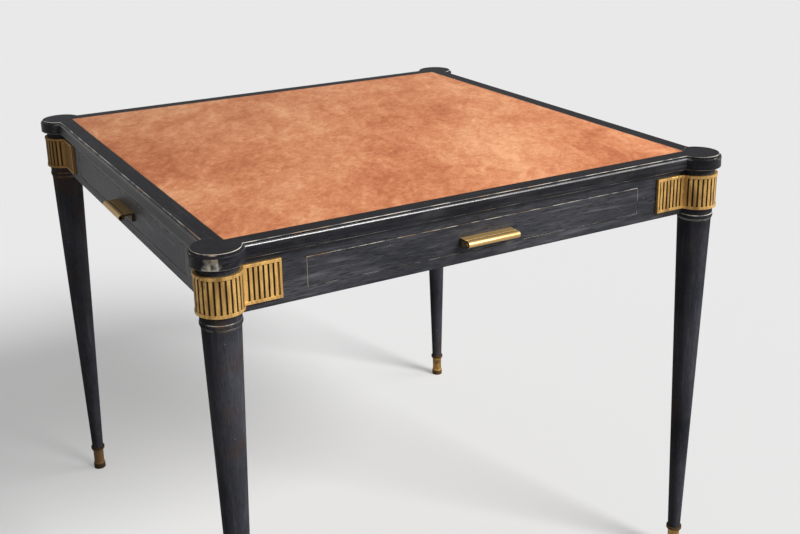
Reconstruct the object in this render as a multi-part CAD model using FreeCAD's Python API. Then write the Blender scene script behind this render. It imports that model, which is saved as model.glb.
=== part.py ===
import FreeCAD, Part

import math
import os

# A square game table: moulded top with a suede field, four turned legs under round corner turrets,
# four aprons with a flush drawer each, fluted brass corner mounts, lip pulls and sabots.
# Millimetres, +Z up, origin on the floor under the middle of the top, front towards -Y.
# Each side is modelled at the front and each corner at the front left, then turned about Z.

# Whole table
TABLE_HEIGHT = 730.0
LEG_PITCH = 806.0  # between the axes of neighbouring legs
FIT = 0.15  # between glued or seated curved faces and in mortises

# Top
TOP_THICKNESS = 21.0
TOP_OVERHANG = 12.5  # from the line of leg axes out to the straight edge
FRAME_WIDTH = 28.5  # from the straight edge in to the suede field
JOINT_OFFSET = 4.0  # rail joints start this far along the edge from a lobe
LOBE_OVERHANG = 4.0  # round lobe of the top beyond the brass mount
EDGE_STEP_IN = 3.5  # the top's upper fillet stands back this far from the edge
EDGE_STEP_DOWN = 2.6  # height of that fillet
EDGE_ROUND = 3.0  # quarter round under the fillet
EDGE_ARRIS = 0.6  # softened corners at top and bottom
SUEDE_THICKNESS = 1.6
SUEDE_GAP = 0.5  # between the suede's cut edge and the frame
TONGUE_THICKNESS = 6.0
TONGUE_LENGTH = 6.0
TONGUE_CLEARANCE = 0.2

# Aprons
APRON_HEIGHT = 76.0
APRON_THICKNESS = 20.0
APRON_PROUD = 1.5  # outer face beyond the line of leg axes
WINDOW_TOP_RAIL = 17.3  # apron left above the drawer window
WINDOW_BOTTOM_RAIL = 14.8  # apron left below it
WINDOW_MARGIN = 121.2  # from a leg axis to the near end of the window
TENON_THICKNESS = 8.0
TENON_SHOULDER = 12.0  # above and below the tenon
TENON_END_GAP = 1.0  # between the two tenons that meet in a leg

# Legs
TURRET_RADIUS = 27.5
COLLAR_DROP = 0.8  # from the apron's lower edge down to the collar
COLLAR_HEIGHT = 7.0
COLLAR_SWELL = 1.3  # belly beyond the turret
COLLAR_FOOT_SET = 0.5  # collar's foot and the ring inside the turret
RING_HEIGHT = 2.0  # small fillet under the collar
TAPER_SET = 1.1  # top of the taper inside the turret
LEG_ANKLE_RADIUS = 10.6  # where the leg stands on its sabot

# Sabots
SABOT_HEIGHT = 48.0
SABOT_FLOOR = 4.0
SABOT_RIM_LIP = 2.4  # rim beyond the leg's ankle
SABOT_RIM_HEIGHT = 5.0
SABOT_WAIST_RADIUS = 9.8
SABOT_WAIST_TOP = 35.0
SABOT_WAIST_BOTTOM = 16.0
SABOT_WALL = 1.8  # round the leg's spigot at the waist
SABOT_FOOT_RADIUS = 11.3
SABOT_FOOT_HEIGHT = 10.0

# Brass corner mounts
MOUNT_MARGIN = 10.5  # apron left above and below the mount
MOUNT_THICKNESS = 5.0
MOUNT_REACH = 84.5  # from the leg axis to the mount's end on the apron
MOUNT_RIM = 4.5  # height of the proud top and bottom rims
MOUNT_BORDER = 3.2  # width of the border at each end
REED_DROP = 0.9  # reeds stand back from the rims by this much
GROOVE_WIDTH = 2.2
GROOVE_DEPTH = 2.0
GROOVES_ON_TURRET = 17
GROOVES_ON_FLAT = 7

# Drawers
FRONT_GAP = 0.8  # round the drawer front in its window
FRONT_THICKNESS = 20.0
SIDE_THICKNESS = 8.0
SIDE_INSET = 1.0  # the box is this much narrower than the front at each side
SIDE_RISE = 0.5  # the box's lower edge above the front's
SIDE_HEIGHT = 38.5
SIDE_HOUSING = 5.0  # depth the sides let into the drawer front
BACK_THICKNESS = 8.0
BACK_CATCH = 5.0  # the back rises this far above the window and stops the drawer
BOTTOM_THICKNESS = 4.0
BOTTOM_RISE = 4.0  # from the sides' lower edge up to the bottom panel
BOTTOM_HOUSING = 3.0  # depth the bottom lets into sides and front
PANEL_CLEARANCE = 0.1

# Drawer guides and inner frame
RUN_CLEARANCE = 0.3  # under the drawer sides
KICK_CLEARANCE = 0.5  # over the drawer sides
SIDE_CLEARANCE = 0.5  # beside the drawer sides
RUNNER_WIDTH = 12.5
RUNNER_LIFT = 4.0  # runners stay this far above the apron's lower edge
FENCE_THICKNESS = 12.0
CLOSE_CLEARANCE = 0.5  # behind a closed drawer
OPEN_CLEARANCE = 0.5  # between the back and the apron when fully open
INNER_MARGIN = 2.0  # inner frame beyond the fences
INNER_THICKNESS = 16.0
INNER_HEIGHT = 64.0
BLOCK_LEG = 42.0  # corner block along each apron
BLOCK_HEIGHT = 56.0
BLOCK_EDGE = 6.0  # thickness left at the block's feather ends

# Pulls
PULL_LENGTH = 87.0
PULL_RISE = 2.0  # top of the pull above the middle of the drawer front
PULL_PROJECTION = 20.0  # from the drawer front to the middle of the roll
PULL_PLATE = 3.0
PULL_FLANGE_HEIGHT = 13.5
PULL_FLANGE = 4.0
ROLL_RADIUS = 4.75
ROLL_BORE_RADIUS = 2.6
ROLL_BORE_DEPTH = 8.0
QUIRK_WIDTH = 1.2  # sunk line behind the roll
QUIRK_DEPTH = 1.0

# Levels
TOP_Z = TABLE_HEIGHT
SLAB_Z = TOP_Z - TOP_THICKNESS
APRON_Z = SLAB_Z - APRON_HEIGHT
BOARD_Z = TOP_Z - SUEDE_THICKNESS
WINDOW_LOW = APRON_Z + WINDOW_BOTTOM_RAIL
WINDOW_HIGH = SLAB_Z - WINDOW_TOP_RAIL
FRONT_LOW = WINDOW_LOW + FRONT_GAP
FRONT_HIGH = WINDOW_HIGH - FRONT_GAP
SIDE_LOW = FRONT_LOW + SIDE_RISE
SIDE_HIGH = SIDE_LOW + SIDE_HEIGHT
BOTTOM_LOW = SIDE_LOW + BOTTOM_RISE
BOTTOM_HIGH = BOTTOM_LOW + BOTTOM_THICKNESS
COLLAR_HIGH = APRON_Z - COLLAR_DROP
MOUNT_LOW = APRON_Z + MOUNT_MARGIN
MOUNT_HIGH = SLAB_Z - MOUNT_MARGIN
PULL_TOP = (FRONT_LOW + FRONT_HIGH) / 2 + PULL_RISE

# Radii
LOBE_RADIUS = TURRET_RADIUS + MOUNT_THICKNESS + LOBE_OVERHANG
SPIGOT_RADIUS = SABOT_WAIST_RADIUS - SABOT_WALL - FIT

# Plan positions, as distances from the middle of the table
AXIS = LEG_PITCH / 2
EDGE = AXIS + TOP_OVERHANG
FIELD = EDGE - FRAME_WIDTH
APRON_OUT = AXIS + APRON_PROUD
APRON_IN = APRON_OUT - APRON_THICKNESS
WINDOW = AXIS - WINDOW_MARGIN
FRONT_HALF = WINDOW - FRONT_GAP
BOX_HALF = FRONT_HALF - SIDE_INSET
BOX_INSIDE = BOX_HALF - SIDE_THICKNESS
FENCE_IN = BOX_HALF + SIDE_CLEARANCE
FENCE_OUT = FENCE_IN + FENCE_THICKNESS
INNER_OUT = FENCE_OUT + INNER_MARGIN
BOX_BACK = INNER_OUT + CLOSE_CLEARANCE
FRONT_IN = APRON_OUT - FRONT_THICKNESS
TENON_OUT = APRON_OUT - (APRON_THICKNESS - TENON_THICKNESS) / 2
TENON_IN = TENON_OUT - TENON_THICKNESS
TENON_END = TENON_IN - TENON_END_GAP
DRAWER_TRAVEL = APRON_IN - BOX_BACK - BACK_THICKNESS - OPEN_CLEARANCE

SIDES = {"front": 0, "right": 90, "back": 180, "left": 270}
CORNERS = [0, 90, 180, 270]
DIAGONAL = 45.0  # from a side's normal to the corner's
UP = FreeCAD.Vector(0, 0, 1)


def vec(x, y, z=0.0):
    return FreeCAD.Vector(x, y, z)


def block(x, y, z):
    """A box between the two values given along each axis."""
    corner = vec(min(x), min(y), min(z))
    return Part.makeBox(abs(x[1] - x[0]), abs(y[1] - y[0]), abs(z[1] - z[0]), corner)


def turned(shape, degrees):
    """A copy turned about the table's middle."""
    copy = shape.copy()
    copy.rotate(vec(0, 0), UP, degrees)
    return copy


def prism(points, low, high):
    """Straight-sided solid over a plan outline."""
    outline = [vec(x, y, low) for x, y in points]
    face = Part.Face(Part.makePolygon(outline + outline[:1]))
    return face.extrude(vec(0, 0, high - low))


def rod(x, y, radius, low, high):
    """Upright cylinder between two levels."""
    return Part.makeCylinder(radius, high - low, vec(x, y, low))


def line(a, b):
    return Part.LineSegment(a, b).toShape()


def arc(a, middle, b):
    return Part.Arc(a, middle, b).toShape()


def lathe(edges):
    """Solid turned about Z from profile edges that start and end on the axis."""
    closed = edges + [line(edges[-1].Vertexes[-1].Point, edges[0].Vertexes[0].Point)]
    return Part.Face(Part.Wire(closed)).revolve(vec(0, 0), UP, 360)


def polyline(points):
    return [line(a, b) for a, b in zip(points, points[1:])]


# ---- top ----


def edge_moulding(reach):
    """The top's moulded edge in the XZ plane, from its lower arris up to its upper arris."""
    step = reach - EDGE_STEP_IN
    ledge = TOP_Z - EDGE_STEP_DOWN
    centre = vec(reach - EDGE_ROUND, 0, ledge - EDGE_ROUND)
    halfway = centre + vec(math.cos(math.pi / 4), 0, math.sin(math.pi / 4)) * EDGE_ROUND
    round_low = vec(reach, 0, centre.z)
    round_high = vec(centre.x, 0, ledge)
    low = polyline([vec(reach - EDGE_ARRIS, 0, SLAB_Z), vec(reach, 0, SLAB_Z + EDGE_ARRIS), round_low])
    high = polyline([round_high, vec(step, 0, ledge), vec(step, 0, TOP_Z - EDGE_ARRIS),
                     vec(step - EDGE_ARRIS, 0, TOP_Z)])
    return low + [arc(round_low, halfway, round_high)] + high


def moulded_strip():
    """A board moulded along both long edges, lying along Y and as wide as the top."""
    right = edge_moulding(EDGE)
    left = [edge.mirror(vec(0, 0), vec(1, 0)) for edge in right]
    base = line(left[0].Vertexes[0].Point, right[0].Vertexes[0].Point)
    head = line(left[-1].Vertexes[-1].Point, right[-1].Vertexes[-1].Point)
    outline = Part.Wire(Part.__sortEdges__(right + left + [base, head]))
    strip = Part.Face(outline).extrude(vec(0, 2 * EDGE))
    strip.translate(vec(0, -EDGE))
    return strip


def lobe():
    """The moulded disc over the front left turret."""
    edges = edge_moulding(LOBE_RADIUS)
    foot = line(vec(0, 0, SLAB_Z), edges[0].Vertexes[0].Point)
    crown = line(edges[-1].Vertexes[-1].Point, vec(0, 0, TOP_Z))
    disc = lathe([foot] + edges + [crown])
    disc.translate(vec(-AXIS, -AXIS))
    return disc


def top_ring():
    """The whole moulded frame round the field, before it is cut into rails."""
    strip = moulded_strip()
    plate = strip.common(turned(strip, 90))
    plate = plate.fuse([turned(lobe(), angle) for angle in CORNERS])
    ring = plate.cut(block((-FIELD, FIELD), (-FIELD, FIELD), (SLAB_Z, TOP_Z)))
    groove = FIELD + TONGUE_LENGTH + TONGUE_CLEARANCE
    low, high = tongue_levels()
    clear = (low - TONGUE_CLEARANCE, high + TONGUE_CLEARANCE)
    return ring.cut(block((-groove, groove), (-groove, groove), clear)).removeSplitter()


def tongue_levels():
    middle = (SLAB_Z + BOARD_Z) / 2
    return middle - TONGUE_THICKNESS / 2, middle + TONGUE_THICKNESS / 2


def rail_regions():
    """Plan outlines of the front rail, lobes included, and of the right rail."""
    notch = -AXIS + math.sqrt(LOBE_RADIUS**2 - TOP_OVERHANG**2) + JOINT_OFFSET
    far = AXIS + 2 * LOBE_RADIUS
    front = [(-far, -far), (far, -far), (far, notch), (EDGE, notch), (FIELD, -FIELD),
             (-FIELD, -FIELD), (-EDGE, notch), (-far, notch)]
    right = [(FIELD, -FIELD), (EDGE, notch), (far, notch), (far, -notch), (EDGE, -notch),
             (FIELD, FIELD)]
    return front, right


def top_rails():
    ring = top_ring()
    front, right = [ring.common(prism(region, SLAB_Z, TOP_Z)) for region in rail_regions()]
    return {"top_rail_front": front, "top_rail_back": turned(front, 180),
            "top_rail_right": right, "top_rail_left": turned(right, 180)}


def top_board():
    """The panel under the suede, with its tongue all round."""
    half = FIELD - TONGUE_CLEARANCE
    tongue = FIELD + TONGUE_LENGTH
    board = block((-half, half), (-half, half), (SLAB_Z, BOARD_Z))
    return board.fuse(block((-tongue, tongue), (-tongue, tongue), tongue_levels())).removeSplitter()


def suede_field():
    half = FIELD - SUEDE_GAP
    return block((-half, half), (-half, half), (BOARD_Z, TOP_Z))


# ---- aprons ----


def apron():
    """The front apron: window for the drawer, coped ends and a tenon into each leg."""
    body = block((-AXIS, AXIS), (-APRON_OUT, -APRON_IN), (APRON_Z, SLAB_Z))
    coped = [rod(side * AXIS, -AXIS, TURRET_RADIUS + FIT, APRON_Z, SLAB_Z) for side in (-1, 1)]
    window = block((-WINDOW, WINDOW), (-APRON_OUT, -APRON_IN), (WINDOW_LOW, WINDOW_HIGH))
    bar = block((-TENON_END, TENON_END), (-TENON_OUT, -TENON_IN),
                (APRON_Z + TENON_SHOULDER, SLAB_Z - TENON_SHOULDER))
    return body.cut(coped).fuse(bar).cut(window).removeSplitter()


# ---- legs and sabots ----


def leg():
    """The front left leg: round turret, bellied collar and ring, long taper, spigot in the sabot."""
    collar_low = COLLAR_HIGH - COLLAR_HEIGHT
    ring_low = collar_low - RING_HEIGHT
    foot = TURRET_RADIUS - COLLAR_FOOT_SET
    solid = lathe(polyline([vec(0, 0, SLAB_Z), vec(TURRET_RADIUS, 0, SLAB_Z),
                            vec(TURRET_RADIUS, 0, COLLAR_HIGH),
                            vec(TURRET_RADIUS + COLLAR_SWELL, 0, (COLLAR_HIGH + collar_low) / 2),
                            vec(foot, 0, collar_low), vec(foot, 0, ring_low),
                            vec(TURRET_RADIUS - TAPER_SET, 0, ring_low),
                            vec(LEG_ANKLE_RADIUS, 0, SABOT_HEIGHT), vec(SPIGOT_RADIUS, 0, SABOT_HEIGHT),
                            vec(SPIGOT_RADIUS, 0, SABOT_FLOOR), vec(0, 0, SABOT_FLOOR)]))
    solid.translate(vec(-AXIS, -AXIS))
    return solid.cut(mortises())


def mortises():
    """The two slots in the front left leg that take its aprons' tenons."""
    levels = (APRON_Z + TENON_SHOULDER - FIT, SLAB_Z - TENON_SHOULDER + FIT)
    across = (-TENON_OUT - FIT, -TENON_IN + FIT)
    along = (-TENON_END - FIT, -AXIS + TURRET_RADIUS)
    return [block(along, across, levels), block(across, along, levels)]


def sabot():
    """The front left foot cup: rim, flared waist, round foot and a socket for the leg's spigot."""
    rim = LEG_ANKLE_RADIUS + SABOT_RIM_LIP
    socket = SPIGOT_RADIUS + FIT
    cup = lathe(polyline([vec(0, 0), vec(SABOT_FOOT_RADIUS, 0), vec(SABOT_FOOT_RADIUS, 0, SABOT_FOOT_HEIGHT),
                          vec(SABOT_WAIST_RADIUS, 0, SABOT_WAIST_BOTTOM),
                          vec(SABOT_WAIST_RADIUS, 0, SABOT_WAIST_TOP),
                          vec(rim, 0, SABOT_HEIGHT - SABOT_RIM_HEIGHT), vec(rim, 0, SABOT_HEIGHT),
                          vec(socket, 0, SABOT_HEIGHT), vec(socket, 0, SABOT_FLOOR),
                          vec(0, 0, SABOT_FLOOR)]))
    cup.translate(vec(-AXIS, -AXIS))
    return cup


# ---- brass corner mounts ----


def mount_band(thickness, low, high):
    """A strip round the front left turret and on to both aprons, at one thickness."""
    face = AXIS + APRON_PROUD
    far = AXIS - MOUNT_REACH
    outer = rod(-AXIS, -AXIS, TURRET_RADIUS + thickness, low, high)
    front = block((-AXIS, -far), (-face - thickness, -face), (low, high))
    side = block((-face - thickness, -face), (-AXIS, -far), (low, high))
    band = outer.fuse([front, side])
    inside = block((-face, -far), (-face, -far), (low, high))
    return band.cut([rod(-AXIS, -AXIS, TURRET_RADIUS + FIT, low, high), inside])


def turret_groove_angles():
    """Angles of the grooves from the corner's diagonal; the end ones keep one pitch from the flats."""
    corner = math.asin((APRON_PROUD + MOUNT_THICKNESS - REED_DROP)
                       / (TURRET_RADIUS + MOUNT_THICKNESS - REED_DROP))
    half_span = 180.0 - DIAGONAL - math.degrees(corner)
    pitch = 2 * half_span / (GROOVES_ON_TURRET + 1)
    return [pitch * (i + 1) - half_span for i in range(GROOVES_ON_TURRET)]


def flat_groove_places():
    """Distances of the flat grooves from the leg axis, from the inner corner to the end border."""
    reed = MOUNT_THICKNESS - REED_DROP
    start = math.sqrt((TURRET_RADIUS + reed) ** 2 - (APRON_PROUD + reed) ** 2)
    last = MOUNT_REACH - MOUNT_BORDER - GROOVE_WIDTH / 2
    pitch = (last - start) / GROOVES_ON_FLAT
    return [start + pitch * (i + 1) for i in range(GROOVES_ON_FLAT)]


def mount_grooves():
    """Cutting blocks of every groove of the front left mount; they end half way up the rims."""
    levels = (MOUNT_LOW + MOUNT_RIM, MOUNT_HIGH - MOUNT_RIM)
    floor = MOUNT_THICKNESS - REED_DROP - GROOVE_DEPTH
    clear = MOUNT_THICKNESS - REED_DROP / 2
    half = GROOVE_WIDTH / 2
    cutter = block((-half, half), (-TURRET_RADIUS - clear, -TURRET_RADIUS - floor), levels)
    tools = []
    for angle in turret_groove_angles():
        tool = cutter.copy()
        tool.rotate(vec(0, 0), UP, angle - DIAGONAL)
        tool.translate(vec(-AXIS, -AXIS))
        tools.append(tool)
    across = (-APRON_OUT - clear, -APRON_OUT - floor)
    for place in flat_groove_places():
        along = (place - half - AXIS, place + half - AXIS)
        tools += [block(along, across, levels), block(across, along, levels)]
    return tools


def corner_mount():
    """The front left casting: proud rims and end borders round sunk, grooved reeds."""
    reeds = mount_band(MOUNT_THICKNESS - REED_DROP, MOUNT_LOW, MOUNT_HIGH)
    rims = [mount_band(MOUNT_THICKNESS, MOUNT_LOW, MOUNT_LOW + MOUNT_RIM),
            mount_band(MOUNT_THICKNESS, MOUNT_HIGH - MOUNT_RIM, MOUNT_HIGH)]
    end = (MOUNT_REACH - MOUNT_BORDER - AXIS, MOUNT_REACH - AXIS)
    depth = (-APRON_OUT - MOUNT_THICKNESS, -APRON_OUT)
    borders = [block(end, depth, (MOUNT_LOW, MOUNT_HIGH)), block(depth, end, (MOUNT_LOW, MOUNT_HIGH))]
    return reeds.fuse(rims + borders).cut(mount_grooves()).removeSplitter()


# ---- drawers ----


def drawer_front():
    """Flush front with housings for the sides and the bottom."""
    panel = block((-FRONT_HALF, FRONT_HALF), (-APRON_OUT, -FRONT_IN), (FRONT_LOW, FRONT_HIGH))
    housing = (-FRONT_IN - SIDE_HOUSING, -FRONT_IN)
    for sign in (-1, 1):
        panel = panel.cut(block((sign * BOX_INSIDE, sign * BOX_HALF), housing, (SIDE_LOW, SIDE_HIGH)))
    groove = block((-BOX_INSIDE, BOX_INSIDE), (-FRONT_IN - BOTTOM_HOUSING, -FRONT_IN),
                   (BOTTOM_LOW - PANEL_CLEARANCE, BOTTOM_HIGH + PANEL_CLEARANCE))
    return panel.cut(groove)


def drawer_side(sign):
    """One side, grooved for the bottom; sign is -1 at the left of the front drawer."""
    side = block((sign * BOX_INSIDE, sign * BOX_HALF), (-FRONT_IN - SIDE_HOUSING, -BOX_BACK),
                 (SIDE_LOW, SIDE_HIGH))
    deep = BOX_INSIDE + BOTTOM_HOUSING
    groove = block((sign * BOX_INSIDE, sign * deep), (-FRONT_IN - SIDE_HOUSING, -BOX_BACK),
                   (BOTTOM_LOW - PANEL_CLEARANCE, BOTTOM_HIGH + PANEL_CLEARANCE))
    return side.cut(groove)


def drawer_back():
    """The back stands on the bottom panel and rises above the window, so it stops the drawer."""
    return block((-BOX_INSIDE, BOX_INSIDE), (-BOX_BACK - BACK_THICKNESS, -BOX_BACK),
                 (BOTTOM_HIGH, WINDOW_HIGH + BACK_CATCH))


def drawer_bottom():
    half = BOX_INSIDE + BOTTOM_HOUSING - PANEL_CLEARANCE
    front = -FRONT_IN - BOTTOM_HOUSING + PANEL_CLEARANCE
    return block((-half, half), (front, -BOX_BACK), (BOTTOM_LOW, BOTTOM_HIGH))


def drawer_guides():
    """Runner below, fence beside and kicker above each side of the front drawer."""
    reach = (-APRON_IN, -INNER_OUT)
    strips = []
    for sign in (-1, 1):
        fence = (sign * FENCE_IN, sign * FENCE_OUT)
        runner = (sign * (FENCE_IN - RUNNER_WIDTH), sign * FENCE_IN)
        kicker = (sign * (BOX_INSIDE + SIDE_CLEARANCE), sign * FENCE_IN)
        strips += [block(fence, reach, (APRON_Z + RUNNER_LIFT, SLAB_Z)),
                   block(runner, reach, (APRON_Z + RUNNER_LIFT, SIDE_LOW - RUN_CLEARANCE)),
                   block(kicker, reach, (SIDE_HIGH + KICK_CLEARANCE, SLAB_Z))]
    return Part.makeCompound(strips)


# ---- pulls ----


def pull():
    """Lip pull: flange, thin lip, sunk line and a rolled bar along the front."""
    half = PULL_LENGTH / 2
    length = (-half, half)
    roll_y = -APRON_OUT - PULL_PROJECTION
    roll_z = PULL_TOP - ROLL_RADIUS
    flange = block(length, (-APRON_OUT - PULL_FLANGE, -APRON_OUT),
                   (PULL_TOP - PULL_FLANGE_HEIGHT, PULL_TOP))
    lip = block(length, (roll_y, -APRON_OUT), (PULL_TOP - PULL_PLATE, PULL_TOP))
    roll = Part.makeCylinder(ROLL_RADIUS, PULL_LENGTH, vec(-half, roll_y, roll_z), vec(1, 0))
    body = flange.fuse([lip, roll])
    ends = [Part.makeCylinder(ROLL_BORE_RADIUS, ROLL_BORE_DEPTH, vec(x, roll_y, roll_z), vec(1, 0))
            for x in (-half, half - ROLL_BORE_DEPTH)]
    quirk_y = roll_y + ROLL_RADIUS
    quirk = block(length, (quirk_y, quirk_y + QUIRK_WIDTH), (PULL_TOP - QUIRK_DEPTH, PULL_TOP))
    return body.removeSplitter().cut(ends + [quirk])


# ---- inner frame and corner blocks ----


def inner_rail(half):
    """Front rail of the inner frame, behind the front drawer."""
    return block((-half, half), (-INNER_OUT, -INNER_OUT + INNER_THICKNESS), (SLAB_Z - INNER_HEIGHT, SLAB_Z))


def inner_rails():
    long_rail = inner_rail(INNER_OUT)
    short_rail = inner_rail(INNER_OUT - INNER_THICKNESS)
    return {f"inner_rail_{side}": turned(long_rail if angle % 180 == 0 else short_rail, angle)
            for side, angle in SIDES.items()}


def corner_block():
    """Glue block in the front left corner behind the leg."""
    near = -APRON_IN
    far = near + BLOCK_LEG
    low = SLAB_Z - BLOCK_HEIGHT
    body = prism([(near, near), (far, near), (far, near + BLOCK_EDGE), (near + BLOCK_EDGE, far), (near, far)],
                 low, SLAB_Z)
    return body.cut(rod(-AXIS, -AXIS, TURRET_RADIUS + FIT, low, SLAB_Z))


def all_corners(shape):
    return Part.makeCompound([turned(shape, angle) for angle in CORNERS])


# ---- assembly ----


def table_nodes():
    nodes = top_rails()
    nodes.update({"top_board": top_board(), "suede_field": suede_field()})
    nodes.update(inner_rails())
    return nodes


def corner_nodes():
    pieces = {"legs": leg(), "sabots": sabot(), "corner_mounts": corner_mount(),
              "corner_blocks": corner_block()}
    return {name: all_corners(shape) for name, shape in pieces.items()}


def side_nodes():
    pieces = {"apron_{}": apron(), "{}_drawer_guides": drawer_guides(),
              "{}_drawer_front": drawer_front(), "{}_drawer_side_left": drawer_side(-1),
              "{}_drawer_side_right": drawer_side(1), "{}_drawer_back": drawer_back(),
              "{}_drawer_bottom": drawer_bottom(), "{}_pull": pull()}
    return {name.format(side): turned(shape, angle)
            for name, shape in pieces.items() for side, angle in SIDES.items()}


os.makedirs("parts", exist_ok=True)
for node, solid in {**table_nodes(), **corner_nodes(), **side_nodes()}.items():
    solid.exportStep(f"parts/{node}.step")
print(f"drawer travel {DRAWER_TRAVEL:.2f} mm")
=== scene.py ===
from math import copysign, cos, pi, radians, sin

import bmesh
import bpy
from mathutils import Matrix, Vector


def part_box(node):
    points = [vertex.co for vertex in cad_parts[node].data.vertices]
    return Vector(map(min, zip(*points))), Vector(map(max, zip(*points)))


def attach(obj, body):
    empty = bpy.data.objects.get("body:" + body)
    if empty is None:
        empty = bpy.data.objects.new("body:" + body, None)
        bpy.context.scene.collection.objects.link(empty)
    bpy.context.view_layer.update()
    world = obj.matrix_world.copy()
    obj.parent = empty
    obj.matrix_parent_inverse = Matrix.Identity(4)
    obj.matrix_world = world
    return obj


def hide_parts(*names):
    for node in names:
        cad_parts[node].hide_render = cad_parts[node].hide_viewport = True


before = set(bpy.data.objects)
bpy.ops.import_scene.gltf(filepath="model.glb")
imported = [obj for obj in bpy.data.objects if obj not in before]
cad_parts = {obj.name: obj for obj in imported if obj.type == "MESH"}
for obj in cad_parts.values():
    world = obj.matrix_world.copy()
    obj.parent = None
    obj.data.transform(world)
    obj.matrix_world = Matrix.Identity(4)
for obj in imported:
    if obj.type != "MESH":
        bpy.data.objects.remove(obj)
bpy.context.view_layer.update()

# A square game table, put together from the top down: moulded top rails, the board and its suede,
# aprons, turned legs, cast brass mounts and sabots, then the four drawers with their pulls.
# Metres, +Z up, front towards -Y; each section holds one kind of piece and its finish.


# ---- moulded top rails ----
# Four solid wood rails, moulded along the outer edge; the long pair runs out into a round lobe over
# each leg. All are stained black and lacquered, and hands have rubbed the lacquer off the arrises and
# the outer corners of the lobes, down to the pale ground; on the lobes the pale patch is partly a
# painted highlight.


class Signal:
    """A shader socket; sums written on it add Math nodes."""

    def __init__(self, nodes, socket):
        self.nodes, self.socket = nodes, socket

    def sum(self, operation, first, second):
        return self.nodes.add("Math", {0: first, 1: second}, operation=operation)

    def __add__(self, other):
        return self.sum("ADD", self, other)

    def __sub__(self, other):
        return self.sum("SUBTRACT", self, other)

    def __rsub__(self, other):
        return self.sum("SUBTRACT", other, self)

    def __mul__(self, other):
        return self.sum("MULTIPLY", self, other)

    __radd__ = __add__
    __rmul__ = __mul__

    def larger(self, other):
        """Whichever of the two is larger."""
        return self.sum("MAXIMUM", self, other)

    def ramp(self, low, high):
        """0 below low, 1 above high, smooth between."""
        return self.nodes.add("MapRange", {0: self, 1: low, 2: high}, interpolation_type="SMOOTHSTEP")


class Nodes:
    """The nodes of one material or of the world."""

    def __init__(self, tree):
        self.tree = tree

    def feed(self, socket, value):
        """Links a signal to a socket, or sets the value that the socket holds itself."""
        if isinstance(value, Signal):
            self.tree.links.new(value.socket, socket)
        elif socket.type == "RGBA" and len(value) == 3:
            socket.default_value = (*value, 1.0)
        else:
            socket.default_value = value

    def add(self, kind, sockets=None, out=0, stops=(), **settings):
        """A node of that kind; settings come first, then the values or links of its sockets."""
        node = self.tree.nodes.new("ShaderNode" + kind)
        for name, value in settings.items():
            setattr(node, name, value)
        for index, (position, colour) in enumerate(stops):
            if index > 1:
                node.color_ramp.elements.new(position)
            node.color_ramp.elements[index].position = position
            node.color_ramp.elements[index].color = (*colour, 1.0)
        for key, value in (sockets or {}).items():
            self.feed(node.inputs[key], value)
        return Signal(self, node.outputs[out])


class Finish(Nodes):
    """A material under way: its Principled surface and the nodes that feed it."""

    def __init__(self, name, **constants):
        self.material = bpy.data.materials.new(name)
        self.material.use_nodes = True
        super().__init__(self.material.node_tree)
        self.surface = self.tree.nodes["Principled BSDF"]
        self.place = self.add("TexCoord", out="Object")
        self.cover(constants)

    def cover(self, inputs):
        """Feeds the surface's inputs, whose names have underscores here for spaces."""
        for name, value in inputs.items():
            self.feed(self.surface.inputs[name.replace("_", " ")], value)

    def noise(self, scale, detail, stretch=(1, 1, 1), turn=0.0, shift=0.0, distortion=0.0):
        """Noise with that many features to the metre, drawn out along axes that can be turned."""
        place = self.add("Mapping", {"Vector": self.place, "Location": (shift, shift, shift),
                                     "Rotation": (0, 0, turn), "Scale": stretch}, vector_type="TEXTURE")
        return self.add("TexNoise", {"Vector": place, "Scale": scale, "Detail": detail,
                                     "Distortion": distortion})

    def mark(self, name):
        """A number that the mesh itself carries from place to place."""
        return self.add("Attribute", out="Fac", attribute_name=name)

    def blend(self, amount, below, above):
        """A colour between two others."""
        return self.add("Mix", {0: amount, 6: below, 7: above}, out=2, data_type="RGBA")

    def relief(self, height, depth, over=None):
        """A bump of that depth in metres, on top of another one."""
        sockets = {"Height": height, "Distance": depth, "Strength": 1.0}
        if over:
            sockets["Normal"] = over
        return self.add("Bump", sockets)

    def done(self, **varying):
        """Feeds what changes over the surface and hands over the material."""
        self.cover(varying)
        return self.material


PALE_GROUND = (0.6, 0.55, 0.47)  # under the lacquer
BROWN_GROUND = (0.36, 0.21, 0.1)  # the same, stained in places
CHIPPED = (0.34, 0.33, 0.31)  # in the nicks


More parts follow.
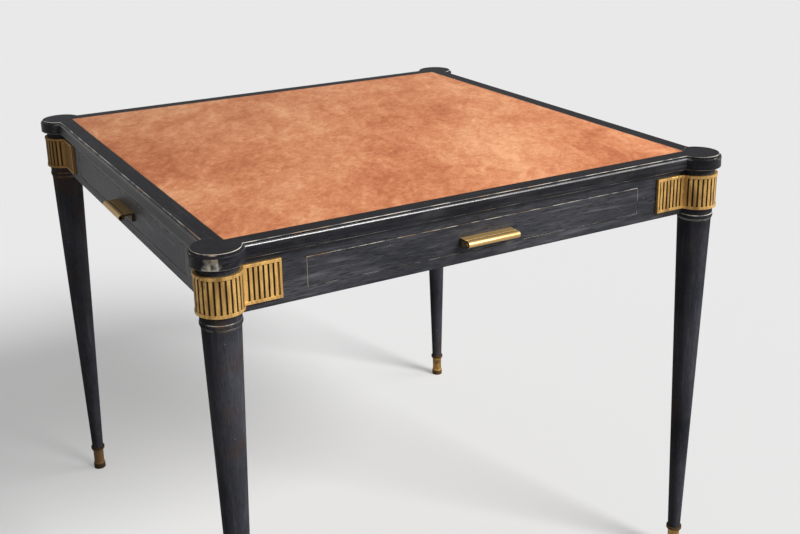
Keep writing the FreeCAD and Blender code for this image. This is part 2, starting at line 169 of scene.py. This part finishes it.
def ebony(name, along, tone, gloss, shine, polish=0.0, wear=0.4, warmth=0.0):
    """Black lacquer over stained wood: cloudy sheen, open grain, scuffs, nicks and rubbed arrises.

    The marks are drawn out by along, and every black in it is a multiple of tone. Wear brings out grain,
    scuffs and hairlines, warmth lets brown patches through, and polish lays a clear coat over all.
    """
    lacquer = Finish(name, Specular_IOR_Level=shine, Coat_Weight=polish, Coat_Roughness=0.16)

    def black(red, green, blue):
        return tone * red, tone * green, tone * blue

    def longer(power):
        return tuple(reach ** power for reach in along)

    cloud = lacquer.noise(7, 5, shift=3)
    grain = lacquer.noise(80, 6, stretch=along)
    pores = lacquer.noise(520, 3, stretch=along, shift=1)
    scuffs = lacquer.noise(170, 4, stretch=longer(1.5), shift=7).ramp(0.56, 0.7)
    hairlines = lacquer.noise(750, 2, stretch=longer(1.4), shift=13).ramp(0.56, 0.72)
    nicks = lacquer.noise(170, 3, shift=11, distortion=0.6).ramp(0.725, 0.77)
    brown = lacquer.noise(11, 3, shift=9).ramp(0.54, 0.66)
    body = lacquer.blend(cloud.ramp(0.3, 0.7), black(0.7, 0.72, 0.9), black(1.8, 1.82, 2.2))
    if warmth:
        body = lacquer.blend(brown * warmth, body, black(1.9, 1.3, 1.1))
    body = lacquer.blend(grain.ramp(0.46, 0.72) * (wear + 0.1), body, black(2.8, 2.8, 3.1))
    body = lacquer.blend(pores.ramp(0.5, 0.7) * (wear + 0.1), body, black(0.3, 0.3, 0.3))
    body = lacquer.blend(scuffs * cloud.ramp(0.35, 0.6) * wear, body, black(6, 6, 6.4))
    body = lacquer.blend(hairlines * wear * 0.6, body, black(5, 5, 5.3))
    body = lacquer.blend(nicks * 0.45, body, CHIPPED)
    rubbed = lacquer.mark("rubbed")
    patches = lacquer.noise(42, 6, shift=19)
    worn = (patches + rubbed * 0.36).ramp(0.74, 0.96).larger(rubbed.ramp(0.85, 1.0) * 0.1)
    colour = lacquer.blend(worn, body, lacquer.blend(brown, PALE_GROUND, BROWN_GROUND))
    roughness = cloud * 0.2 + (gloss - 0.14) + grain * 0.14 + pores * 0.06
    bump = lacquer.relief(grain + pores * 0.5, 0.0001, lacquer.relief(cloud, 0.0005))
    return lacquer.done(Base_Color=colour, Roughness=roughness, Normal=bump)


SAME_PLACE = 0.00001  # points nearer to each other than this are merged
SAME_FACE = radians(0.5)  # and so are faces that meet at less than this
SHARP = radians(30)  # edges that are sharper than this get eased


def cad_shape(node):
    """A CAD piece's own shape as a clean mesh with whole flat faces."""
    mesh = bmesh.new()
    mesh.from_mesh(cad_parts[node].data)
    bmesh.ops.remove_doubles(mesh, verts=mesh.verts, dist=SAME_PLACE)
    bmesh.ops.dissolve_limit(mesh, angle_limit=SAME_FACE, verts=mesh.verts, edges=mesh.edges)
    return mesh


def ease(mesh, width):
    """Rounds a mesh's sharp edges by that width and marks the new faces as rubbed."""
    rubbed = mesh.faces.layers.float.new("rubbed")
    edges = [edge for edge in mesh.edges if edge.is_manifold and edge.calc_face_angle() > SHARP]
    made = bmesh.ops.bevel(mesh, geom=edges, offset=width, segments=2, profile=0.5, affect="EDGES",
                           clamp_overlap=True, material=-1)
    for face in made["faces"]:
        face[rubbed] = 1.0


def finished(name, mesh, materials, body, crease=radians(20)):
    """Turns a mesh into a piece of the table: smooth within each face, crisp at the creases."""
    data = bpy.data.meshes.new(name)
    for face in mesh.faces:
        face.smooth = True
    mesh.to_mesh(data)
    mesh.free()
    data.set_sharp_from_angle(angle=crease)
    for material in materials:
        data.materials.append(material)
    piece = bpy.data.objects.new(name, data)
    bpy.context.scene.collection.objects.link(piece)
    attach(piece, body)
    return piece


GRAIN = {"front": "x", "back": "x", "left": "y", "right": "y"}  # which way each side's wood runs
LACQUERED_REACH = 8  # marks in the lacquer are this much longer along the grain
RAIL_POLISH = {"front": 1.0, "back": 0.6, "left": 0.2, "right": 0.6}  # left on the round edge
RAIL_BEVEL = 0.0003  # of the arrises that the moulding leaves sharp
MOULDING_CREASE = radians(35)
LOBE_STARTS = 0.372  # nearer to the table's middle than this the edge is straight

FLAT, FASCIA, ROUND = range(3)  # a rail's materials
LEVEL = 0.99  # a level face's normal rises by more than this,
UPRIGHT = 0.1  # an upright face's by less than this,
SLOPING = (0.2, 0.97)  # the faces of the moulding's round and of eased arrises lie between these,
WIDE_ARRIS = cos(pi / 4)  # and the wide arris at the top has this slope,
ARRIS_SPREAD = 0.02  # give or take this much

SMALL_ARRIS_WEAR = 0.9  # the wide arris is at 1
LEAST_WEAR = 0.05
LOBE_WEAR_AND_SHEEN = 2.0  # wear and a painted highlight, gained by a lobe's faces as they turn to the table's corner
LOBE_WEAR_AND_SHEEN_FROM = 0.6  # how far a face has turned to the corner when its wear and painted highlight start


def drawn(grain, reach):
    """How far marks are drawn out along each axis, when the grain runs along the named one."""
    return tuple(reach if axis == grain else 1 for axis in "xyz")


def mark_faces(rail):
    """Gives each face of a rail its material, and how far hands have rubbed it; on the lobes this is
    partly a painted highlight.
    """
    rubbed = rail.faces.layers.float["rubbed"]
    for face in rail.faces:
        rise = abs(face.normal.z)
        middle = face.calc_center_median()
        on_lobe = min(abs(middle.x), abs(middle.y)) > LOBE_STARTS
        face.material_index = FLAT if rise > LEVEL else FASCIA if rise < UPRIGHT or on_lobe else ROUND
        if SLOPING[0] < rise < SLOPING[1]:
            on_wide_arris = abs(rise - WIDE_ARRIS) < ARRIS_SPREAD
            face[rubbed] = 1.0 if on_wide_arris else SMALL_ARRIS_WEAR if face[rubbed] else LEAST_WEAR
        # a lobe's corner gets a pale patch: partly wear, partly a painted highlight
        elif rise < UPRIGHT and on_lobe and not face[rubbed]:
            corner = Vector((copysign(1, middle.x), copysign(1, middle.y), 0)).normalized()
            face[rubbed] = LEAST_WEAR + LOBE_WEAR_AND_SHEEN * max(face.normal.dot(corner) - LOBE_WEAR_AND_SHEEN_FROM, 0)


for side, polish in RAIL_POLISH.items():
    node = f"top_rail_{side}"
    along = drawn(GRAIN[side], LACQUERED_REACH)
    rail = cad_shape(node)
    ease(rail, RAIL_BEVEL)
    mark_faces(rail)
    flat = ebony(f"lacquer_{node}_flat", along, tone=0.009, gloss=0.44, shine=0.03)
    fascia = ebony(f"lacquer_{node}_fascia", along, tone=0.009, gloss=0.36, shine=0.08, wear=0.6)
    round_edge = ebony(f"lacquer_{node}_round", along, tone=0.014, gloss=0.3, shine=polish * 0.6,
                       polish=polish)
    piece = finished(f"{node}_moulded", rail, [flat, fascia, round_edge], "table",
                     MOULDING_CREASE)
    weighted = piece.modifiers.new("flat faces stay flat", "WEIGHTED_NORMAL")
    weighted.keep_sharp = True
    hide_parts(node)


# ---- board and suede field ----
# A plain panel is tongued into the rails. Its field is covered with one hide of terracotta suede,
# glued down flush with the rails; its cut edge stands in a thin open joint all round.


def plain_wood(name, grain, reach, light, dark, rings):
    """Wood without lacquer: growth rings, so many to the metre, fibres, short dark pores, a soft sheen."""
    wood = Finish(name, Specular_IOR_Level=0.35)
    along = drawn(grain, reach)
    bands = wood.noise(rings, 3, stretch=along, distortion=0.25)
    fibres = wood.noise(rings * 9, 4, stretch=along, shift=2)
    pores = wood.noise(700, 2, stretch=along, shift=4).ramp(0.6, 0.72)
    stain = wood.noise(5, 4, shift=6)
    tone = bands * 0.55 + fibres * 0.4 + stain * 0.2 - 0.07
    colour = wood.add("ValToRGB", {0: tone}, stops=((0.4, dark), (0.66, light)))
    colour = wood.blend(pores * 0.45, colour, dark)
    return wood.done(Base_Color=colour, Roughness=fibres * 0.25 + 0.42,
                     Normal=wood.relief(fibres - pores * 0.5, 0.00015))


BEECH = {"reach": 16, "light": (0.52, 0.35, 0.2), "dark": (0.33, 0.19, 0.09), "rings": 30}

beech = {"x": plain_wood("beech_across", "x", **BEECH), "y": plain_wood("beech_deep", "y", **BEECH)}
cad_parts["top_board"].data.materials[0] = beech["x"]

SUEDE_EDGE = 0.0006  # softness of the cut edge
SUEDE_CREASE = radians(60)
DARK_NAP = (0.44, 0.13, 0.053)  # brushed away from the eye
EVEN_NAP = (0.64, 0.244, 0.112)
LIGHT_NAP = (0.82, 0.41, 0.215)  # brushed towards it


def suede():
    """Short nap brushed both ways: blotches, soft strokes and a fine tooth."""
    hide = Finish("suede", Specular_IOR_Level=0.1, Sheen_Weight=0.08, Sheen_Roughness=0.5,
                  Sheen_Tint=(1.0, 0.6, 0.4))
    blotch = hide.noise(6, 6, stretch=(1.6, 1, 1), turn=radians(60), shift=5, distortion=0.5)
    stroke = hide.noise(34, 6, stretch=(2, 1, 1), turn=radians(68), shift=4, distortion=0.8)
    mottle = hide.noise(150, 5, stretch=(1.6, 1, 1), turn=radians(50), shift=2, distortion=0.5)
    nap = hide.noise(1300, 2)
    tone = blotch * 0.52 + stroke * 0.3 + mottle * 0.27 + nap * 0.14 - 0.12
    colour = hide.add("ValToRGB", {0: tone}, stops=((0.36, DARK_NAP), (0.5, EVEN_NAP), (0.64, LIGHT_NAP)))
    tooth = hide.relief(nap, 0.0004, hide.relief(mottle, 0.0005, hide.relief(stroke, 0.0007)))
    return hide.done(Base_Color=colour, Roughness=mottle * 0.1 + 0.88, Normal=tooth)


low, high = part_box("suede_field")
leather = bmesh.new()
bmesh.ops.create_cube(leather, size=1.0)
bmesh.ops.scale(leather, verts=leather.verts, vec=high - low)
bmesh.ops.translate(leather, verts=leather.verts, vec=(high + low) / 2)
ease(leather, SUEDE_EDGE)
field = finished("suede_playing_field", leather, [suede()], "table", SUEDE_CREASE)
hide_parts("suede_field")


# ---- aprons ----
# Four rails tenoned into the legs, each with a window for its drawer. They are of the same lacquered
# wood as the top, greyer and more worn, and a little bare wood shows along their edges.

APRON_BEVEL = 0.0006

apron_lacquer = {grain: ebony(f"lacquer_apron_{grain}", drawn(grain, LACQUERED_REACH), tone=0.02,
                              gloss=0.42, shine=0.16, wear=0.65)
                 for grain in "xy"}

for side, grain in GRAIN.items():
    node = f"apron_{side}"
    apron = cad_shape(node)
    ease(apron, APRON_BEVEL)
    piece = finished(f"{node}_lacquered", apron, [apron_lacquer[grain]], "table")
    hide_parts(node)


# ---- legs ----
# Each leg is turned from one blank: a plain turret under the lobe, a bead and a thin ring below
# the aprons, then a long straight taper down to the brass sabot. Brown shows through the black.

PITCH = 0.806  # between the legs' axes
TURRET_RADIUS = 0.0275
QUIRK = 0.0004  # step between turret and bead
BEAD_TOP = 0.6322
BEAD_HEIGHT = 0.007
BEAD_SWELL = 0.0014
BEAD_POINTS = 9
RING_RADIUS = 0.027
RING_HEIGHT = 0.002
TAPER_TOP_RADIUS = 0.0264
ANKLE_RADIUS = 0.0106
ANKLE = 0.048  # the sabot's rim
TURNING_STEPS = 72
TURNING_BEVEL = 0.0004
LEG_REACH = 6  # marks in the lacquer are this much longer down the leg

CORNERS = {"front_left": (-1, -1), "front_right": (1, -1), "back_right": (1, 1), "back_left": (-1, 1)}


def turned(outline, corner):
    """A solid of revolution on a leg's axis, from (radius, height) points that start and end at 0."""
    mesh = bmesh.new()
    points = [mesh.verts.new((radius, 0, height)) for radius, height in outline]
    edges = [mesh.edges.new(pair) for pair in zip(points, points[1:])]
    bmesh.ops.spin(mesh, geom=points + edges, axis=(0, 0, 1), cent=(0, 0, 0), angle=2 * pi,
                   steps=TURNING_STEPS, use_merge=True)
    bmesh.ops.remove_doubles(mesh, verts=mesh.verts, dist=SAME_PLACE)
    bmesh.ops.recalc_face_normals(mesh, faces=mesh.faces)
    x, y = (sign * PITCH / 2 for sign in CORNERS[corner])
    bmesh.ops.translate(mesh, verts=mesh.verts, vec=(x, y, 0))
    return mesh


def bead(radius, top, height, swell):
    """Half-round swelling on a turned profile, from its top down."""
    turns = [pi * index / (BEAD_POINTS - 1) for index in range(BEAD_POINTS)]
    return [(radius + swell * sin(turn), top - height * (1 - cos(turn)) / 2) for turn in turns]


leg_lacquer = ebony("lacquer_leg", drawn("z", LEG_REACH), tone=0.025, gloss=0.5, shine=0.0,
                    polish=0.05, wear=0.2, warmth=0.8)
turret_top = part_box("legs")[1].z
taper_top = BEAD_TOP - BEAD_HEIGHT - RING_HEIGHT
leg_outline = [(0, turret_top), (TURRET_RADIUS, turret_top), (TURRET_RADIUS, BEAD_TOP + QUIRK),
               *bead(RING_RADIUS, BEAD_TOP, BEAD_HEIGHT, BEAD_SWELL),
               (RING_RADIUS, taper_top), (TAPER_TOP_RADIUS, taper_top),
               (ANKLE_RADIUS, ANKLE), (0, ANKLE)]

for corner in CORNERS:
    leg = turned(leg_outline, corner)
    ease(leg, TURNING_BEVEL)
    piece = finished(f"leg_{corner}", leg, [leg_lacquer], "table")
    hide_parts("legs")


# ---- corner mounts ----
# One brass casting wraps each turret and runs on to both aprons. Its rims and end borders stand
# proud of flat reeds, and the grooves between them are dark with old wax and tarnish; painted shade
# darkens the reeds' edges beside them and the round part over the turret.

APRON_FACE = 0.4045  # from the table's middle
REED_HEIGHT = 0.0041  # reeds above the wood they lie on
GROOVE_DEPTH = 0.002
MOUNT_RIM = 0.004
MOUNT_BEVEL = 0.0005
TURRET_STARTS = 0.377  # from the table's middle, both ways
ON_REEDS = 0.00005  # a point that is nearer than this to the reeds' faces lies on them

METAL_SHOWS = 0.75  # the rest is under old lacquer and wax
# colour of old wax in the grooves, also used for painted shade
WAX_AND_SHADE = (0.02, 0.012, 0.005)
WAX_AND_SHADE_REACH = 0.0006  # how far wax and painted shade reach from a groove over the reeds
WAX_AND_SHADE_AT_REEDS = 0.6  # how dark they are there; they are darkest on the grooves' floors
SHADE_ON_TURRET = 0.35  # painted shade: the round part is darker than the flats


def brass(name, bright, dull, gloss, tarnish_and_shade, brushed=(1, 1, 1)):
    """Old brass browned with age in clouds, specks and streaks, and browned further by painted shade
    towards the back left.
    """
    metal = Finish(name, Specular_IOR_Level=0.2)
    cloud = metal.noise(70, 6, stretch=brushed, shift=6)
    speck = metal.noise(380, 4, shift=8)
    lines = metal.noise(260, 3, stretch=brushed)
    sunk = metal.mark("sunk")
    east = metal.add("SeparateXYZ", {"Vector": metal.place}, out="X")
    north = metal.add("SeparateXYZ", {"Vector": metal.place}, out="Y")
    patina_and_shade = cloud.ramp(0.4, 0.68).larger(speck.ramp(0.54, 0.74)) * tarnish_and_shade
    patina_and_shade = patina_and_shade.larger(lines.ramp(0.48, 0.66) * tarnish_and_shade * 0.7)
    # painted shade: browner towards the back left, the side turned away from the lamps
    patina_and_shade = patina_and_shade.larger((north - east).ramp(0.0, 0.65) * tarnish_and_shade)
    colour = metal.blend(patina_and_shade, bright, dull)
    # wax in the hollows, and painted shade wherever the sunk mark is set for it
    colour = metal.blend(sunk.ramp(0.1, 0.9) * 0.95, colour, WAX_AND_SHADE)
    roughness = patina_and_shade * 0.25 + (gloss - 0.05) + cloud * 0.1 + sunk * 0.3
    metallic = 1.0 - (patina_and_shade * 0.45 + (1.0 - METAL_SHOWS)).larger(sunk)
    bump = metal.relief(speck + lines * 0.5, 0.00014, metal.relief(cloud, 0.0006))
    return metal.done(Base_Color=colour, Roughness=roughness, Metallic=metallic, Normal=bump)


def depth_in_reeds(vert):
    """How far a point of a mount lies below the faces of the reeds, over the turret or the apron."""
    across, outward = sorted((abs(vert.co.x), abs(vert.co.y)))
    height = Vector((across - PITCH / 2, outward - PITCH / 2)).length - TURRET_RADIUS
    if across < PITCH / 2:
        height = min(height, outward - APRON_FACE)
    return REED_HEIGHT - height


gilt = brass("gilt_brass", (0.73, 0.44, 0.14), (0.17, 0.085, 0.024), gloss=0.36, tarnish_and_shade=0.8,
             brushed=(1, 1, 5))
castings = cad_shape("corner_mounts")
ease(castings, MOUNT_BEVEL)
sunk = castings.verts.layers.float.new("sunk")
reeds = [face for face in castings.faces if abs(face.normal.z) < UPRIGHT
         and all(abs(depth_in_reeds(vert)) < ON_REEDS for vert in face.verts)]
bmesh.ops.inset_region(castings, faces=reeds, thickness=WAX_AND_SHADE_REACH, use_even_offset=True)
clean = {vert for face in reeds for vert in face.verts}
mount_low, mount_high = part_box("corner_mounts")
mount_end = min(abs(vert.co.x) for vert in castings.verts)
for vert in castings.verts:
    depth = depth_in_reeds(vert)
    nearer = min(abs(vert.co.x), abs(vert.co.y))
    inside = (mount_low.z + MOUNT_RIM < vert.co.z < mount_high.z - MOUNT_RIM
              and nearer > mount_end + MOUNT_RIM)
    # wax on the grooves' floors, and painted shade on the reeds' edges beside them
    if inside and depth > -ON_REEDS and vert not in clean:
        vert[sunk] = min(WAX_AND_SHADE_AT_REEDS + depth / GROOVE_DEPTH, 1)
    # painted shade over the round part
    elif nearer > TURRET_STARTS:
        vert[sunk] = SHADE_ON_TURRET
mounts = finished("corner_mounts_cast", castings, [gilt], "table")
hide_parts("corner_mounts")


# ---- sabots ----
# Spun brass cups on the feet: a plain rim, a waist and a spreading foot. The waist is dull gold,
# and floor polish has turned rim and foot dark brown.

SABOT_RIM = 0.013
SABOT_RIM_HEIGHT = 0.005
SABOT_LIP = 0.0006  # rim beyond the flare
SABOT_WAIST = 0.0098
SABOT_WAIST_TOP = 0.035
SABOT_WAIST_BOTTOM = 0.016
SABOT_FOOT = 0.0113
SABOT_FOOT_TOP = 0.010
FLARE_POINTS = 6
OLD_POLISH = 0.7  # how thick it is on rim and foot


def flare(radius_low, low, radius_high, high):
    """Hollow curve of a turned profile between two bands, from its top down."""
    steps = [index / (FLARE_POINTS - 1) for index in range(FLARE_POINTS)]
    return [(radius_high + (radius_low - radius_high) * sin(step * pi / 2), high + (low - high) * step)
            for step in steps]


aged = brass("aged_brass", (0.4, 0.225, 0.062), (0.09, 0.05, 0.02), gloss=0.4, tarnish_and_shade=0.9)
rim_bottom = ANKLE - SABOT_RIM_HEIGHT
sabot_outline = [(0, ANKLE), (SABOT_RIM, ANKLE), (SABOT_RIM, rim_bottom),
                 *flare(SABOT_WAIST, SABOT_WAIST_TOP, SABOT_RIM - SABOT_LIP, rim_bottom),
                 *reversed(flare(SABOT_WAIST, SABOT_WAIST_BOTTOM, SABOT_FOOT, SABOT_FOOT_TOP)),
                 (SABOT_FOOT, 0), (0, 0)]

for corner in CORNERS:
    cup = turned(sabot_outline, corner)
    ease(cup, TURNING_BEVEL)
    sunk = cup.verts.layers.float.new("sunk")
    for vert in cup.verts:
        if not SABOT_FOOT_TOP < vert.co.z < rim_bottom:
            vert[sunk] = OLD_POLISH
    piece = finished(f"sabot_{corner}", cup, [aged], "table")
    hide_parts("sabots")


# ---- inner frame, guides and blocks ----
# Plain beech inside the table: an inner frame stands behind the drawers, strips at their sides carry
# and guide them, and glue blocks sit between the aprons behind the legs.

ACROSS = {"x": "y", "y": "x"}  # a drawer's sides and its guides run across the grain of its front

for node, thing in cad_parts.items():
    if node.startswith("inner_rail"):
        thing.data.materials[0] = beech[GRAIN[node.split("_")[-1]]]
    elif node.endswith("drawer_guides"):
        thing.data.materials[0] = beech[ACROSS[GRAIN[node.split("_")[0]]]]
    elif node == "corner_blocks":
        thing.data.materials[0] = beech["x"]


# ---- drawers ----
# A lacquered front, two grooved sides, a back and a thin bottom, in oak with a pale waxed finish.
# The front lies flush in its apron with a thin gap all round.

OAK = {"reach": 20, "light": (0.58, 0.4, 0.22), "dark": (0.36, 0.21, 0.1), "rings": 40}
BOX_BEVEL = 0.0005

oak = {grain: plain_wood(f"oak_{grain}", grain, **OAK) for grain in "xy"}

for side, grain in GRAIN.items():
    body = f"{side}_drawer"
    for part, finish, slot in (("front", apron_lacquer[grain], "ebonised_frame"),
                               ("side_left", oak[ACROSS[grain]], "drawer_wood"),
                               ("side_right", oak[ACROSS[grain]], "drawer_wood"),
                               ("back", oak[grain], "drawer_wood"),
                               ("bottom", oak[grain], "drawer_panel")):
        node = f"{body}_{part}"
        board = cad_shape(node)
        ease(board, BOX_BEVEL)
        piece = finished(f"{node}_planed", board, [finish], body)
        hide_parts(node)


# ---- pulls ----
# A cast and polished lip pull across the middle of each front: a thin lip that ends in a hollow
# roll, with a sunk line behind the roll. The bore, the line, the underside and both ends are painted
# dark: painted shade in the hollows, under the lip and at the ends, over tarnish where they have never
# been polished.

PULL_BEVEL = 0.0003
BORE_DEPTH = 0.008  # of the hollow in each end of the roll
BORE_SLACK = 0.001
ROLL_STARTS = 0.4197  # from the table's middle; the sunk line is just behind it
LINE_EDGE = 0.0006  # width of the dark edge of that line
SINKS = 0.0004  # what lies lower than this below the lip's top, behind the roll, gets painted shade over tarnish
END_SPREAD = 0.00002  # points this near to a pull's end lie on it
BORE_DARK = 1.0
UNDERSIDE_DARK = 0.9  # the ends too
LINE_DARK = 0.8
BRUSHED_REACH = 10  # polishing marks are this much longer along the pull

polished = {grain: brass(f"pull_brass_{grain}", (0.84, 0.56, 0.225), (0.22, 0.13, 0.045), gloss=0.27,
                         tarnish_and_shade=0.7, brushed=drawn(grain, BRUSHED_REACH))
            for grain in "xy"}

for side, grain in GRAIN.items():
    node = f"{side}_pull"
    lip = cad_shape(node)
    length_axis = "xy".index(grain)
    end = max(abs(vert.co[length_axis]) for vert in lip.verts)
    lip_top = max(vert.co.z for vert in lip.verts)
    ease(lip, PULL_BEVEL)
    sunk = lip.verts.layers.float.new("sunk")
    # painted shade in the bore, under the lip, at the ends and along the sunk line, over tarnish
    for vert in lip.verts:
        depth = end - abs(vert.co[length_axis])
        reach = abs(vert.co[1 - length_axis])
        low_down = vert.co.z < lip_top - SINKS
        if BORE_DEPTH / 2 < depth < BORE_DEPTH + BORE_SLACK:
            vert[sunk] = BORE_DARK
        elif (low_down and reach < ROLL_STARTS) or depth < END_SPREAD:
            vert[sunk] = UNDERSIDE_DARK
        elif not low_down and abs(reach - ROLL_STARTS) < LINE_EDGE:
            vert[sunk] = LINE_DARK
    piece = finished(f"{node}_cast", lip, [polished[grain]], f"{side}_drawer")
    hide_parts(node)


# ---- screws ----
# Slotted brass screws: two through each drawer front into the flange of its pull, and one up
# through each corner block into the top. Only their flat heads show, darkened by age.

HEAD_RADIUS = 0.0042
HEAD_SIDES = 32
HEAD_PROUD = 0.0007  # above the wood around it
HEAD_EASE = 0.0004
SLOT_WIDTH = 0.0011
SLOT_REACH = 0.0036  # from the head's middle to each end of the slot
SLOT_DEPTH = 0.0005
PULL_SCREW_PLACES = {"left": -0.03, "right": 0.03}  # from the pull's middle
BLOCK_SCREW_PLACE = 0.362  # from the table's middle, both ways
AROUND = {"front": 0, "right": pi / 2, "back": pi, "left": -pi / 2}


def screw_head(place):
    """A slotted head that faces +Z, put in its place."""
    head = bmesh.new()
    bmesh.ops.create_cone(head, cap_ends=True, segments=HEAD_SIDES, radius1=HEAD_RADIUS,
                          radius2=HEAD_RADIUS - HEAD_EASE, depth=HEAD_PROUD)
    bmesh.ops.translate(head, verts=head.verts, vec=(0, 0, HEAD_PROUD / 2))
    for along, reach in ((Vector((1, 0, 0)), SLOT_REACH), (Vector((0, 1, 0)), SLOT_WIDTH / 2)):
        for edge in (-reach, reach):
            whole = head.verts[:] + head.edges[:] + head.faces[:]
            bmesh.ops.bisect_plane(head, geom=whole, plane_co=along * edge, plane_no=along)
    slot = [face for face in head.faces
            if face.normal.z > LEVEL and face.calc_center_median().xy.length < SLOT_WIDTH / 4]
    floor = bmesh.ops.extrude_discrete_faces(head, faces=slot)["faces"]
    corners = {vert for face in floor for vert in face.verts}
    bmesh.ops.translate(head, verts=list(corners), vec=(0, 0, -SLOT_DEPTH))
    bmesh.ops.transform(head, matrix=place, verts=head.verts)
    return head


pull_low, pull_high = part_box("front_pull")
front_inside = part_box("front_drawer_front")[1].y
for side, around in AROUND.items():
    for hand, across in PULL_SCREW_PLACES.items():
        place = (Matrix.Rotation(around, 4, "Z")
                 @ Matrix.Translation((across, front_inside, (pull_low.z + pull_high.z) / 2))
                 @ Matrix.Rotation(-pi / 2, 4, "X"))
        finished(f"{side}_pull_screw_{hand}", screw_head(place), [aged], f"{side}_drawer")

block_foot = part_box("corner_blocks")[0].z
for corner, (x, y) in CORNERS.items():
    place = (Matrix.Translation((x * BLOCK_SCREW_PLACE, y * BLOCK_SCREW_PLACE, block_foot))
             @ Matrix.Rotation(pi, 4, "X"))
    finished(f"top_screw_{corner}", screw_head(place), [aged], "table")


# ---- floor and background ----
# A matt studio floor that runs out into a background of its own pale grey. Both are shown paler
# than they light the table, and the floor keeps the table's shadow.

STUDIO_GREY = (0.81, 0.81, 0.81)
FLOOR_SIZE = 120.0
PALER = 0.3  # share of the floor's look that no shadow reaches
BOUNCE = (0.4, 0.4, 0.4)  # the floor's colour in the light that it throws back on the table
AIR = 0.22  # light from all round, as a share of what a white surface needs


def where_seen(nodes, lit, seen):
    """One shader as it lights the table, the other for the eye, also by way of gloss and glass."""
    sight = nodes.add("LightPath", out="Is Camera Ray")
    for ray in ("Is Glossy Ray", "Is Transmission Ray"):
        sight = sight.larger(nodes.add("LightPath", out=ray))
    return nodes.add("MixShader", {0: sight, 1: lit, 2: seen})


def floor_paint():
    """Matt paint, shown a little paler than the light on it makes it."""
    material = bpy.data.materials.new("floor")
    material.use_nodes = True
    nodes = Nodes(material.node_tree)
    nodes.tree.nodes.remove(nodes.tree.nodes["Principled BSDF"])
    paint = nodes.add("BsdfDiffuse", {"Color": STUDIO_GREY})
    glow = nodes.add("Emission", {"Color": STUDIO_GREY})
    paler = nodes.add("MixShader", {0: PALER, 1: paint, 2: glow})
    bounce = nodes.add("BsdfDiffuse", {"Color": BOUNCE})
    nodes.feed(nodes.tree.nodes["Material Output"].inputs["Surface"], where_seen(nodes, bounce, paler))
    return material


floor = bmesh.new()
bmesh.ops.create_grid(floor, x_segments=1, y_segments=1, size=FLOOR_SIZE / 2)
floor_data = bpy.data.meshes.new("floor")
floor.to_mesh(floor_data)
floor.free()
floor_data.materials.append(floor_paint())
floor_piece = bpy.data.objects.new("floor", floor_data)
bpy.context.scene.collection.objects.link(floor_piece)

world = bpy.data.worlds.new("studio")
bpy.context.scene.world = world
world.use_nodes = True
surround = Nodes(world.node_tree)
surround.tree.nodes.remove(surround.tree.nodes["Background"])
air = surround.add("Background", {"Color": (1, 1, 1), "Strength": AIR})
backdrop = surround.add("Background", {"Color": STUDIO_GREY})
surround.feed(surround.tree.nodes["World Output"].inputs["Surface"], where_seen(surround, air, backdrop))


# ---- lamps and camera ----
# One broad soft key light stands at the front right, a wider and weaker one low at the right. The
# camera looks down on the near corner from the front left.


def soft_light(name, share, rightwards, height, spread):
    """A far soft lamp: its share of the floor's light, and its bearing, height and width as angles."""
    light = bpy.data.lights.new(name, "SUN")
    light.energy = share * pi / sin(height)
    light.angle = spread
    lamp = bpy.data.objects.new(name, light)
    towards = Vector((sin(rightwards) * cos(height), -cos(rightwards) * cos(height), sin(height)))
    lamp.rotation_euler = towards.to_track_quat("Z", "Y").to_euler()
    bpy.context.scene.collection.objects.link(lamp)


soft_light("key", share=0.65, rightwards=radians(27), height=radians(37), spread=radians(22))
soft_light("side", share=0.13, rightwards=radians(66), height=radians(11), spread=radians(40))

CAMERA_PLACE = (-0.84097, -1.66262, 1.20659)
HEADING = 0.50872  # turned from +Y towards +X, in radians
TILT = 0.30781  # downwards
LEAN = -0.01877  # about the line of sight
PICTURE_WIDTH = 800  # pixels
LENS_PIXELS = 1118.7  # focal length, in pixels of that picture
RISE_PIXELS = -70  # the lens is shifted down by this much
SENSOR = 36.0  # millimetres

camera_data = bpy.data.cameras.new("camera")
camera_data.sensor_width = SENSOR
camera_data.lens = LENS_PIXELS / PICTURE_WIDTH * SENSOR
camera_data.shift_y = RISE_PIXELS / PICTURE_WIDTH
camera = bpy.data.objects.new("camera", camera_data)
camera.location = CAMERA_PLACE
turn = (Matrix.Rotation(-HEADING, 3, "Z") @ Matrix.Rotation(pi / 2 - TILT, 3, "X")
        @ Matrix.Rotation(LEAN, 3, "Z"))
camera.rotation_euler = turn.to_euler()
bpy.context.scene.collection.objects.link(camera)
bpy.context.scene.camera = camera
bpy.context.scene.view_settings.view_transform = "Standard"
